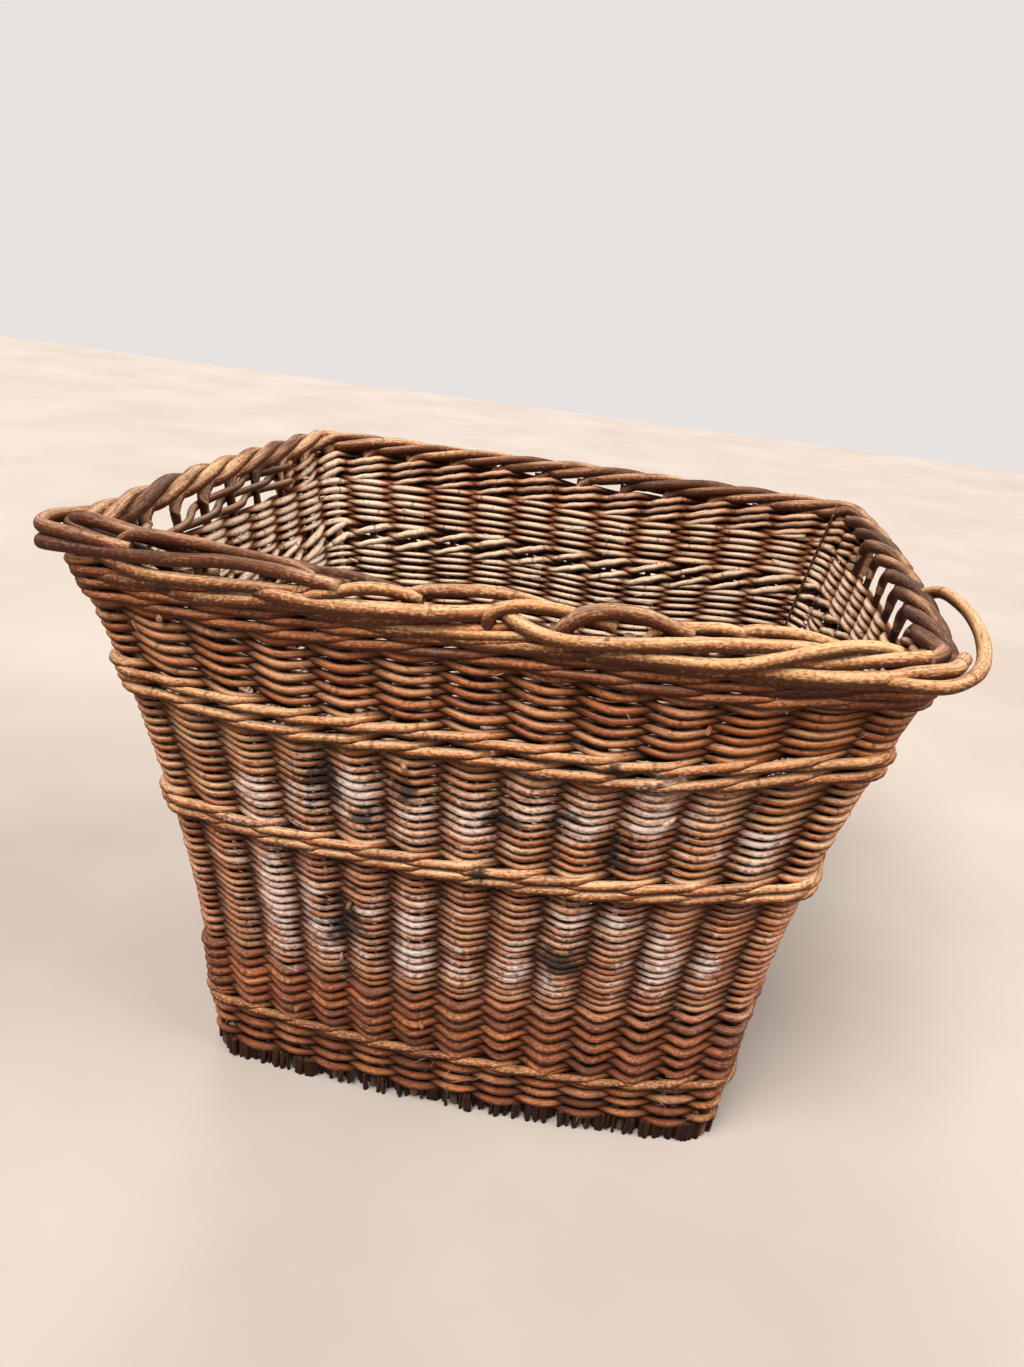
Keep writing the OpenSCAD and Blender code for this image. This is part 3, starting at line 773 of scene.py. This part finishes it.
# The front border: each cane as (tone, radius, the points that it passes through)
FRONT_CANES = [
    # dark cane at the left end, on the inner side
    (0.08, 0.0066,
     [(-0.378, -0.250, 0.592), (-0.374, -0.276, 0.606), (-0.364, -0.298, 0.613)]
     + rim((0.5, 0.618, -0.008), (1.06, 0.614, -0.008), (1.6, 0.609, -0.008), (2.1, 0.603, -0.006))),
    # loops of bent-over stakes along the top, left to right
    (0.20, 0.0056,
     rim((0.86, 0.586, 0.0), (0.90, 0.602, 0.0), (1.0, 0.611, 0.0), (1.34, 0.619, 0.0),
         (2.09, 0.619, -0.002), (2.44, 0.617, -0.003), (3.27, 0.614, -0.004), (3.7, 0.608, -0.004))),
    (0.16, 0.0058,
     rim((2.0, 0.580, -0.002), (2.02, 0.600, -0.003), (2.15, 0.610, -0.004), (2.7, 0.612, -0.006),
         (3.4, 0.612, -0.008), (4.2, 0.606, -0.006))),
    (0.24, 0.0056,
     rim((3.0, 0.580, -0.002), (3.02, 0.598, -0.004), (3.2, 0.607, -0.006), (3.9, 0.611, -0.008),
         (4.6, 0.608, -0.008), (5.2, 0.601, -0.006))),
    (0.50, 0.0054,
     rim((4.98, 0.583, -0.002), (4.99, 0.600, -0.003), (5.12, 0.609, -0.004), (5.6, 0.615, -0.005),
         (6.03, 0.6175, -0.006), (6.4, 0.6175, -0.006), (6.83, 0.614, -0.005), (7.3, 0.606, -0.004))),
    (0.56, 0.0060,
     rim((6.12, 0.568, 0.003), (6.12, 0.590, 0.005), (6.14, 0.603, 0.006), (6.27, 0.610, 0.004),
         (6.6, 0.6145, 0.001), (6.98, 0.614, -0.001), (7.35, 0.610, -0.002), (7.8, 0.604, -0.002))),
    (0.40, 0.0074,
     rim((7.10, 0.575, 0.0), (7.12, 0.594, 0.002), (7.20, 0.606, 0.002), (7.38, 0.613, 0.0),
         (7.7, 0.618, -0.002), (8.1, 0.617, -0.003), (8.4, 0.613, -0.002), (8.8, 0.606, 0.0))),
    (0.62, 0.0056,
     rim((8.22, 0.578, -0.001), (8.25, 0.596, -0.002), (8.41, 0.607, -0.003), (8.86, 0.6115, -0.004),
         (9.2, 0.613, -0.004), (9.6, 0.609, -0.002), (10.1, 0.602, 0.001))),
    (0.66, 0.0058,
     rim((9.28, 0.578, -0.004), (9.31, 0.600, -0.004), (9.45, 0.612, -0.004), (9.65, 0.6155, -0.004),
         (9.95, 0.616, -0.004), (10.31, 0.6144, -0.003), (10.9, 0.606, -0.002))),
    # long canes laid along the outside, left to right
    (0.34, 0.0060,
     rim((0.45, 0.602, 0.006), (0.7, 0.596, 0.011), (1.05, 0.590, 0.012), (1.4, 0.589, 0.013),
         (1.84, 0.591, 0.013), (2.85, 0.597, 0.012), (3.51, 0.601, 0.012), (3.75, 0.606, 0.010))),
    (0.52, 0.0058,
     rim((1.6, 0.576, 0.008), (2.3, 0.579, 0.012), (3.17, 0.588, 0.013), (3.65, 0.598, 0.014),
         (4.14, 0.608, 0.013), (4.45, 0.612, 0.009), (4.8, 0.611, 0.004), (5.2, 0.605, 0.0))),
    (0.46, 0.0076,
     rim((2.9, 0.594, 0.008), (3.3, 0.595, 0.014), (4.0, 0.595, 0.015), (4.9, 0.600, 0.015),
         (5.4, 0.603, 0.014), (5.8, 0.604, 0.009), (6.15, 0.603, -0.001))),
    (0.74, 0.0064,
     rim((6.15, 0.603, -0.012), (6.3, 0.603, -0.004), (6.5, 0.602, 0.006), (6.75, 0.599, 0.012),
         (7.05, 0.597, 0.015), (7.4, 0.597, 0.016), (8.1, 0.601, 0.015), (8.8, 0.606, 0.013),
         (9.4, 0.609, 0.010), (10.1, 0.610, 0.006), (10.6, 0.607, 0.001))),
    (0.72, 0.0062,
     rim((7.5, 0.584, 0.008), (8.1, 0.589, 0.013), (8.5, 0.591, 0.016), (9.1, 0.592, 0.017),
         (9.55, 0.596, 0.017), (9.9, 0.602, 0.015), (10.31, 0.6105, 0.012), (10.73, 0.6165, 0.008),
         (11.1, 0.616, 0.004), (11.4, 0.611, 0.0))),
    (0.78, 0.0064,
     rim((9.3, 0.588, 0.0), (9.9, 0.593, 0.005), (10.39, 0.598, 0.009), (10.71, 0.602, 0.010),
         (11.0, 0.606, 0.010), (11.26, 0.609, 0.009), (11.55, 0.611, 0.007), (11.8, 0.611, 0.004))),
    (0.58, 0.0067,
     rim((9.4, 0.584, 0.008), (10.0, 0.589, 0.014), (10.44, 0.5915, 0.018), (10.88, 0.594, 0.019),
         (11.33, 0.597, 0.018), (11.61, 0.602, 0.016))
     + [(0.373, -0.329, 0.606), (0.386, -0.308, 0.610)]),
    # thinner canes below them
    (0.72, 0.0046,
     rim((4.2, 0.579, 0.004), (4.6, 0.582, 0.010), (5.3, 0.585, 0.012), (6.0, 0.588, 0.012),
         (6.7, 0.592, 0.009), (7.0, 0.592, 0.003))),
    (0.66, 0.0048,
     rim((5.6, 0.577, 0.004), (6.0, 0.580, 0.011), (6.6, 0.584, 0.013), (7.0, 0.586, 0.013),
         (7.6, 0.590, 0.009), (8.0, 0.591, 0.003))),
]
# Single canes at the corners
HAIRPIN = (rim((40.2, 0.588, 0.004), (40.8, 0.592, 0.010), (41.3, 0.595, 0.012))
           + [(-0.382, -0.312, 0.598), (-0.379, -0.326, 0.599), (-0.367, -0.333, 0.600)]
           + rim((0.7, 0.602, 0.012), (1.3, 0.604, 0.011), (1.9, 0.608, 0.010), (2.5, 0.614, 0.010),
                 (3.15, 0.615, 0.010), (4.15, 0.611, 0.012)))
CORNER_TURN = (rim((40.4, 0.596, -0.006), (40.9, 0.606, -0.001), (41.35, 0.612, 0.007))
               + [(-0.384, -0.302, 0.614), (-0.383, -0.318, 0.613), (-0.374, -0.328, 0.612),
                  (-0.355, -0.331, 0.611)]
               + rim((0.75, 0.608, 0.008), (1.1, 0.606, 0.005)))
LOOP = (rim((10.9, 0.590, 0.008), (11.2, 0.592, 0.014))
        + [(0.354, -0.344, 0.594), (0.377, -0.337, 0.597), (0.399, -0.309, 0.602),
           (0.411, -0.266, 0.608), (0.414, -0.215, 0.615), (0.410, -0.165, 0.618),
           (0.400, -0.132, 0.618), (0.388, -0.114, 0.609)])


def put_corner_cane(name, slot, tint, radius, points):
    canes = Canes()
    canes.add(curve_through(points), radius, 14, LAID_OUTSIDE, tint=tint, swell=BORDER_SWELL)
    canes.build(f"{name}_cane", border_cane, slot, name)


def put_front_border():
    front = Canes()
    for tint, radius, points in FRONT_CANES:
        path = curve_through(points)
        thick = radius*np.linspace(1.05, 0.92, len(path))
        front.add(path, thick, 14, LAID_OUTSIDE, tint=tint, swell=BORDER_SWELL)
    along = np.linspace(0, 1, 22)
    for i in range(LONG_SPACES - 2):        # filling canes under the long ones
        low = 0.571 + rng.uniform(-0.003, 0.003)
        reach = rng.uniform(2.0, 2.7)
        t = i + rng.uniform(-0.1, 0.1) + reach*along
        swing = np.sin(math.pi*along)
        out = -0.003 + 0.015*swing**0.6
        z = low + 0.016*along - 0.003*swing
        thick = rng.uniform(0.0042, 0.0052)
        front.add(on_wall(t, z, out), thick, 10, LAID_OUTSIDE, tint=rng.uniform(0.25, 0.62))
    front.build("front_border_canes", border_cane, "cane_light", "front_border")
    put_corner_cane("corner_hairpin", "cane_dark", 0.12, 0.0060, HAIRPIN)
    put_corner_cane("corner_loop", "cane_light", 0.62, 0.0060, LOOP)
    put_corner_cane("border_corner_front_left", "cane_dark", 0.22, 0.0062, CORNER_TURN)
    corner = Canes(0.15, 0.3)
    bent_stake(corner, LONG_SPACES, 1.2, 0.0068)
    corner.build("border_corner_front_right_cane", border_cane, "cane_light", "border_corner_front_right")


# ---------------------------------------------------------------- loose ends
CUT_ENDS, LOOSE_FIBRES = 56, 90
LACING_TURNS = 420                          # of its strands, in radians a metre


def put_cut_ends():
    ends = Canes(0.25, 0.60)
    for _ in range(CUT_ENDS):
        t, z = rng.uniform(0, SPACES), rng.uniform(0.09, 0.57)
        side = 1 if rng.random() < 0.65 else -1
        slant = rng.uniform(-0.25, 0.25)
        s = np.linspace(0, 1, 7)
        out = side*(0.002 + 0.013*s)
        path = on_wall(t + slant*s, z + rng.uniform(-0.004, 0.004)*s, out)
        ends.add(path, rng.uniform(0.0018, 0.0030), 8, out)
    ends.build("cut_cane_ends", outside_cane, "cane_light")


def put_loose_fibres():
    fibres = Canes(0.9, 1.0)
    for _ in range(LOOSE_FIBRES):
        t, z = rng.uniform(0, SPACES), rng.choice([rng.uniform(0.02, 0.10), rng.uniform(0.33, 0.60)])
        s = np.linspace(0, 1, 9)
        curl, drop = rng.uniform(-0.35, 0.35), rng.uniform(-0.012, 0.004)
        out = 0.010 + rng.uniform(0.002, 0.007)*np.sin(s*rng.uniform(1.5, 3.0))
        fibres.add(on_wall(t + curl*s, z + drop*s*s, out), 0.0005*(1.15 - s), 5, LAID_OUTSIDE)
    fibres.build("loose_fibres", outside_cane, "cane_light")


def put_lacing():
    """Two twisted strands down the inside of the back right corner."""
    lacing = Canes(0.2, 0.4)
    z = np.linspace(0.44, 0.595, 60)
    for strand in (0, math.pi):
        turn = LACING_TURNS*z + strand
        path = on_wall(CORNERS[2] + 0.02*np.sin(turn), z, -0.0215 + 0.0014*np.cos(turn))
        lacing.add(path, 0.0013, 6, out=0.010, up=UPRIGHT)
    lacing.build("corner_lacing", border_cane, "cane_dark")


# Rods across the back of the left hand hold: (place of the front end, height at the back end, tone)
HAND_HOLD_RODS = [(37.6, 0.564, 0.30), (38.9, 0.573, 0.12), (40.3, 0.583, 0.22)]
HAND_HOLD_Z = 0.557                         # height of their front ends


def put_hand_hold_rods():
    """Rods woven in and out of the stakes that narrow the left hand hold towards the back."""
    rods = Canes()
    back_end = SPACES - SHORT_SPACES/2 - HAND_HOLD_SPACES/2 - 0.3
    for row, (front_end, top, tint) in enumerate(HAND_HOLD_RODS):
        t = np.arange(front_end, back_end, -1/PER_SPACE)
        climb = smooth(front_end - t, -0.4, 0.75*(front_end - back_end))
        path = on_wall(t, HAND_HOLD_Z + (top - HAND_HOLD_Z)*climb, 0.0084*np.cos(math.pi*(t + row)))
        rods.add(path, 0.0044, 10, out=-0.009, tint=tint)
    rods.build("hand_hold_rods", wale_cane, "cane_bleached")


put_foot()
put_base()
put_posts_and_stakes()
weave_all_bands()
put_rope_border()
put_front_border()
put_cut_ends()
put_loose_fibres()
put_lacing()
put_hand_hold_rods()


# ---------------------------------------------------------------- stage, light and camera
CAMERA_AT = (0.1501, -1.1197, 0.8561)
CAMERA_YAW, CAMERA_PITCH, CAMERA_ROLL = (math.radians(angle) for angle in (5.38, 21.36, 6.92))
CAMERA_LENS, CAMERA_SHIFT = 27.39, -0.0393
FLOOR_HALF = 6.0
FLOOR_TONES = [(0.35, (0.425, 0.365, 0.325)), (0.65, (0.470, 0.420, 0.385))]
AMBIENT, AMBIENT_STRENGTH = (0.92, 0.89, 0.86, 1), 0.36
BACKDROP = (0.80, 0.765, 0.75, 1)
# Soft suns: (name, where it shines from, angle in degrees, strength, colour)
LIGHTS = [("key", (-0.6, -1.6, 2.6), 34, 3.9, (1.0, 0.95, 0.89)),
          ("fill", (2.2, -0.4, 1.7), 40, 2.20, (1.0, 0.93, 0.86)),
          ("back", (-1.0, 2.2, 1.8), 40, 1.10, (1.0, 0.95, 0.90))]


def put_camera():
    data = bpy.data.cameras.new("camera")
    data.sensor_width = 36.0
    data.lens = CAMERA_LENS
    data.shift_x = CAMERA_SHIFT
    camera = bpy.data.objects.new("camera", data)
    bpy.context.scene.collection.objects.link(camera)
    yaw, pitch, roll = CAMERA_YAW, CAMERA_PITCH, CAMERA_ROLL
    forward = Vector((-math.sin(yaw)*math.cos(pitch), math.cos(yaw)*math.cos(pitch), -math.sin(pitch)))
    level = Vector((math.cos(yaw), math.sin(yaw), 0))
    rise = level.cross(forward)
    right = level*math.cos(roll) + rise*math.sin(roll)
    above = rise*math.cos(roll) - level*math.sin(roll)
    turn = Matrix((right, above, -forward)).transposed().to_4x4()
    camera.matrix_world = Matrix.Translation(CAMERA_AT) @ turn
    bpy.context.scene.camera = camera


def put_stage():
    mesh = bpy.data.meshes.new("floor")
    corners = [(x*FLOOR_HALF, y*FLOOR_HALF, 0) for x, y in ((-1, -1), (1, -1), (1, 1), (-1, 1))]
    mesh.from_pydata(corners, [], [(0, 1, 2, 3)])
    look = Look("floor")
    place = look.node("TexCoord", {}).outputs["Object"]
    look.plug(look.shader.inputs["Base Color"], look.ramp(look.noise(place, 2.2, 6.0), FLOOR_TONES))
    look.plug(look.shader.inputs["Roughness"], 0.85)
    mesh.materials.append(look.material)
    floor = bpy.data.objects.new("floor", mesh)
    bpy.context.scene.collection.objects.link(floor)


def put_world():
    """Soft light from all round, with a plain backdrop that only the camera sees."""
    world = bpy.data.worlds.new("studio")
    world.use_nodes = True
    tree = world.node_tree
    ambient = tree.nodes["Background"]
    ambient.inputs["Color"].default_value = AMBIENT
    ambient.inputs["Strength"].default_value = AMBIENT_STRENGTH
    backdrop = tree.nodes.new("ShaderNodeBackground")
    backdrop.inputs["Color"].default_value = BACKDROP
    mix, seen = tree.nodes.new("ShaderNodeMixShader"), tree.nodes.new("ShaderNodeLightPath")
    tree.links.new(mix.inputs["Fac"], seen.outputs["Is Camera Ray"])
    tree.links.new(mix.inputs[1], ambient.outputs[0])
    tree.links.new(mix.inputs[2], backdrop.outputs[0])
    tree.links.new(tree.nodes["World Output"].inputs["Surface"], mix.outputs[0])
    bpy.context.scene.world = world


def put_lights():
    for name, place, angle, strength, colour in LIGHTS:
        light = bpy.data.lights.new(name, "SUN")
        light.angle = math.radians(angle)
        light.energy = strength
        light.color = colour
        lamp = bpy.data.objects.new(name, light)
        lamp.location = place
        lamp.rotation_euler = (-Vector(place)).to_track_quat("-Z", "Y").to_euler()
        bpy.context.scene.collection.objects.link(lamp)
    bpy.context.scene.view_settings.view_transform = "Standard"


put_stage()
put_world()
put_lights()
put_camera()
